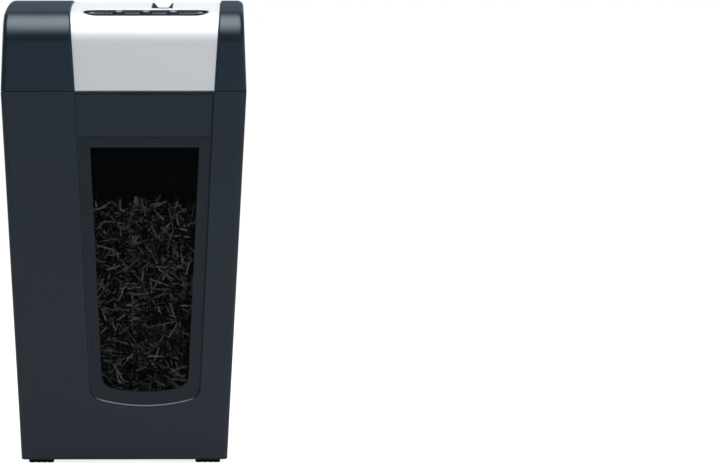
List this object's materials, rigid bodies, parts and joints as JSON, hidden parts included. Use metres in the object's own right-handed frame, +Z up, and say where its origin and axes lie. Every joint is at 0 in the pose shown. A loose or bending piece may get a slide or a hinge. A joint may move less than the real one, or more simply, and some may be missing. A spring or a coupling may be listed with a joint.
{
  "type": "paper shredder",
  "caption": "Slim office paper shredder: a lift-off cutting head with a silver top band, feed slot and push buttons, on a black waste bin with a viewing window.",
  "frame": {"origin": "on the floor under the middle of the whole outline, with the rear switch counted in", "axes": "+Z up, -Y out of the front face that holds the window, +X to the right of a person who faces the front"},
  "size_m": [0.212, 0.365, 0.4],
  "materials": {
    "case_plastic": "satin blue-black moulded plastic",
    "insert_plastic": "black moulded plastic",
    "silver_cover": "smooth silver paint on moulded plastic",
    "panel_gloss": "gloss black",
    "button_plastic": "semi-gloss black",
    "smoked_window": "clear smoked acrylic",
    "lens_clear": "frosted clear light guide",
    "foot_rubber": "matt black rubber",
    "hard_steel": "oiled hardened steel",
    "plate_steel": "zinc-plated sheet steel",
    "gear_steel": "sintered steel",
    "gear_nylon": "natural nylon",
    "bronze": "oil-filled sintered bronze",
    "motor_steel": "plated steel can",
    "copper": "varnished copper windings on a steel core",
    "circuit_board": "green lacquered board"
  },
  "bodies": {
    "bin": {"bin_shell": "case_plastic", "window_pane": "smoked_window", "foot_front_left": "foot_rubber", "foot_front_right": "foot_rubber", "foot_rear_left": "foot_rubber", "foot_rear_right": "foot_rubber"},
    "head": {"head_shell": "case_plastic", "top_fascia": "silver_cover", "throat_guide": "insert_plastic", "control_panel": "panel_gloss", "head_base": "insert_plastic", "status_lens_left": "lens_clear", "status_lens_right": "lens_clear", "control_board": "circuit_board", "power_board": "circuit_board", "paper_sensor": "panel_gloss", "front_plate": "plate_steel", "rear_plate": "plate_steel", "tie_rod_1": "hard_steel", "tie_rod_2": "hard_steel", "tie_rod_3": "hard_steel", "tie_rod_4": "hard_steel", "bush_front_left": "bronze", "bush_rear_left": "bronze", "bush_front_right": "bronze", "bush_rear_right": "bronze", "comb_left": "insert_plastic", "comb_right": "insert_plastic", "idler_pin_second": "hard_steel", "idler_pin_first": "hard_steel", "gearbox_cover": "insert_plastic", "motor_can": "motor_steel", "motor_end_cap": "insert_plastic", "switch_bezel": "insert_plastic", "cord_gland": "insert_plastic", "interlock_switch": "panel_gloss", "vibration_mount_front_left": "foot_rubber", "vibration_mount_front_right": "foot_rubber", "vibration_mount_rear_left": "foot_rubber", "vibration_mount_rear_right": "foot_rubber", "base_screw_front_left": "hard_steel", "base_screw_front_right": "hard_steel", "base_screw_rear_left": "hard_steel", "base_screw_rear_right": "hard_steel"},
    "cutter_left": {"cutter_left": "hard_steel", "sync_gear_left": "gear_steel", "drive_gear": "gear_steel"},
    "cutter_right": {"cutter_right": "hard_steel", "sync_gear_right": "gear_steel"},
    "idler_second": {"idler_gear_second": "gear_steel"},
    "idler_first": {"idler_gear_first": "gear_nylon"},
    "rotor": {"motor_armature": "copper", "motor_pinion": "gear_steel", "motor_fan": "insert_plastic"},
    "button_reverse": {"button_reverse": "button_plastic"},
    "button_power": {"button_power": "button_plastic"},
    "button_forward": {"button_forward": "button_plastic"},
    "rocker": {"switch_rocker": "button_plastic"},
    "interlock_pin": {"interlock_pin": "gear_nylon"}
  },
  "joints": [
    {"name": "head_lift", "type": "slide", "parent": "bin", "child": "head", "axis": [0, 0, 1], "range_m": [0, 0.12]},
    {"name": "cutter_left_spin", "type": "hinge", "parent": "head", "child": "cutter_left", "pos_m": [0.0174, 0, 0.332], "axis": [0, 1, 0], "continuous": true},
    {"name": "cutter_right_spin", "type": "hinge", "parent": "head", "child": "cutter_right", "pos_m": [0.0474, 0, 0.332], "axis": [0, 1, 0], "continuous": true},
    {"name": "idler_second_spin", "type": "hinge", "parent": "head", "child": "idler_second", "pos_m": [-0.01255, 0, 0.35197], "axis": [0, 1, 0], "continuous": true},
    {"name": "idler_first_spin", "type": "hinge", "parent": "head", "child": "idler_first", "pos_m": [-0.02312, 0, 0.32124], "axis": [0, 1, 0], "continuous": true},
    {"name": "rotor_spin", "type": "hinge", "parent": "head", "child": "rotor", "pos_m": [-0.048, 0, 0.338], "axis": [0, 1, 0], "continuous": true},
    {"name": "button_reverse_press", "type": "slide", "parent": "head", "child": "button_reverse", "axis": [0, 0.1041, -0.9946], "range_m": [0, 0.0012], "stiffness_N_per_m": 300},
    {"name": "button_power_press", "type": "slide", "parent": "head", "child": "button_power", "axis": [0, 0.1041, -0.9946], "range_m": [0, 0.0012], "stiffness_N_per_m": 300},
    {"name": "button_forward_press", "type": "slide", "parent": "head", "child": "button_forward", "axis": [0, 0.1041, -0.9946], "range_m": [0, 0.0012], "stiffness_N_per_m": 300},
    {"name": "rocker_tilt", "type": "hinge", "parent": "head", "child": "rocker", "pos_m": [0.062, 0.17543, 0.331], "axis": [0, 0, 1], "range_deg": [0, 18]},
    {"name": "interlock_drop", "type": "slide", "parent": "head", "child": "interlock_pin", "axis": [0, 0, 1], "range_m": [-0.004, 0]}
  ],
  "couplings": [
    {"joint": "cutter_right_spin", "follows": "cutter_left_spin", "ratio": -1},
    {"joint": "idler_second_spin", "follows": "cutter_left_spin", "ratio": -3},
    {"joint": "idler_first_spin", "follows": "cutter_left_spin", "ratio": 10},
    {"joint": "rotor_spin", "follows": "cutter_left_spin", "ratio": -40},
    {"joint": "interlock_drop", "follows": "head_lift", "ratio": -0.0333}
  ]
}
